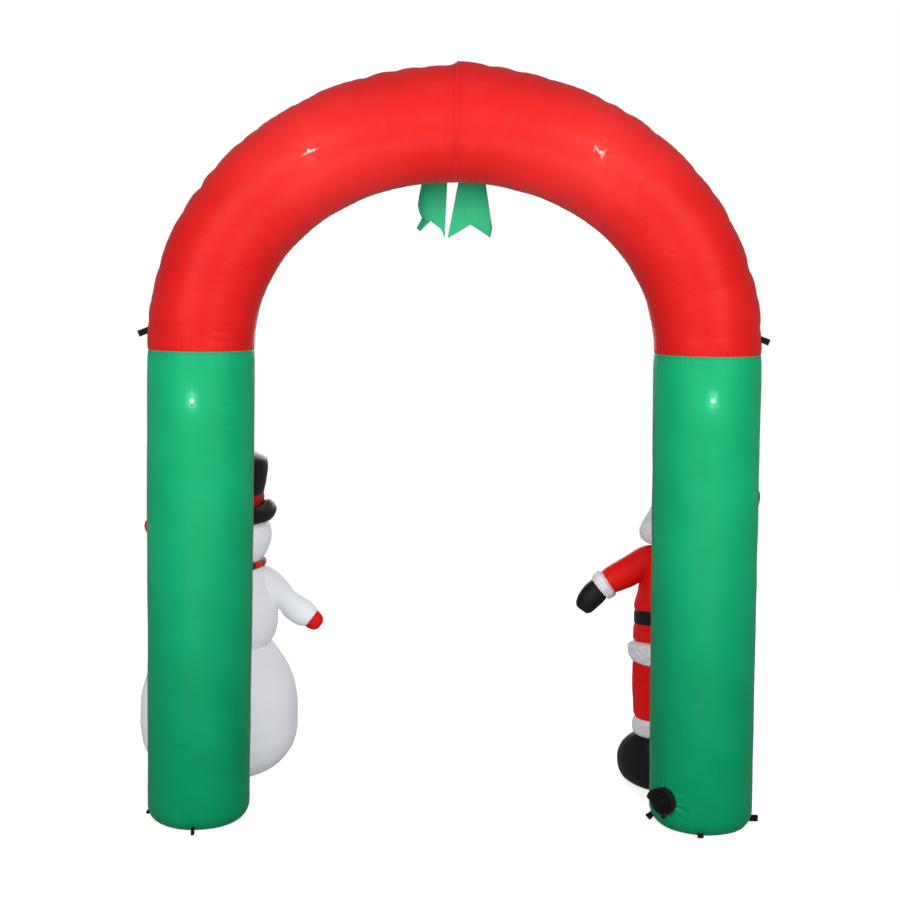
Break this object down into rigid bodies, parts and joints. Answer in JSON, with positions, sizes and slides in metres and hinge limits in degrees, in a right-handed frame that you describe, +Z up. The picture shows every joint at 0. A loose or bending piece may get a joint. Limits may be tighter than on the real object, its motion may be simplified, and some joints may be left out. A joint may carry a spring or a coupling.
{
  "type": "inflatable arch",
  "caption": "Air-filled garden archway with round legs and a bent crown, a ribbon bow, two standing winter figures, a fan intake and webbing tie-down loops.",
  "frame": {"origin": "on the ground, at the bottom centre of the box round the whole object", "axes": "+Z up; +X across the walkway, from the leg with the white-ball figure to the leg with the red-suited figure and the fan; +Y through the arch towards the side where the figures stand"},
  "size_m": [2.1534, 0.9083, 2.3978],
  "materials": {
    "red_nylon": "satin woven nylon, air-tight coated, lit from inside",
    "green_nylon": "satin woven nylon, air-tight coated, lit from inside",
    "ribbon_green": "satin woven ribbon cloth",
    "white_nylon": "satin woven nylon",
    "fur_white": "brushed short-pile nylon",
    "black_nylon": "satin woven nylon",
    "suit_red": "satin woven nylon",
    "skin_cloth": "satin woven nylon",
    "orange_cloth": "satin woven nylon",
    "buckle_cloth": "satin woven nylon",
    "webbing": "matt polyester webbing",
    "fan_plastic": "moulded, matt"
  },
  "bodies": {
    "root": {"crown_left": "red_nylon", "crown_right": "red_nylon", "leg_left": "green_nylon", "leg_right": "green_nylon", "bow_tail_left": "ribbon_green", "bow_tail_right": "ribbon_green", "bow_loop_left": "ribbon_green", "bow_loop_right": "ribbon_green", "bow_knot": "ribbon_green", "snow_lower_ball": "white_nylon", "snow_body": "white_nylon", "snow_head": "white_nylon", "snow_arm_down": "white_nylon", "snow_arm_up": "white_nylon", "suit_hem_fur": "fur_white", "suit_cuff_left": "fur_white", "suit_cuff_right": "fur_white", "suit_arm_cuff_down": "fur_white", "suit_arm_cuff_up": "fur_white", "suit_hair_beard": "fur_white", "suit_hat_fur": "fur_white", "suit_hat_bobble": "fur_white", "suit_moustache": "fur_white", "snow_hat_brim": "black_nylon", "snow_hat": "black_nylon", "snow_eye_left": "black_nylon", "snow_eye_right": "black_nylon", "suit_belt": "black_nylon", "suit_boot_left": "black_nylon", "suit_boot_right": "black_nylon", "suit_mitten_down": "black_nylon", "suit_mitten_up": "black_nylon", "suit_eye_left": "black_nylon", "suit_eye_right": "black_nylon", "snow_scarf": "suit_red", "snow_hat_band": "suit_red", "snow_mitten_down": "suit_red", "snow_mitten_up": "suit_red", "suit_skirt": "suit_red", "suit_coat": "suit_red", "suit_trouser_left": "suit_red", "suit_trouser_right": "suit_red", "suit_arm_down": "suit_red", "suit_arm_up": "suit_red", "suit_hat": "suit_red", "suit_face": "skin_cloth", "suit_nose": "skin_cloth", "snow_nose": "orange_cloth", "suit_buckle": "buckle_cloth", "loop_upper_left": "webbing", "loop_upper_right": "webbing", "loop_foot_left_outer": "webbing", "loop_foot_left_rear": "webbing", "loop_foot_right_inner": "webbing", "loop_foot_right_rear": "webbing", "loop_foot_right_outer": "webbing", "fan_tie": "webbing", "fan_housing": "fan_plastic", "fan_guard": "fan_plastic"}
  },
  "joints": []
}
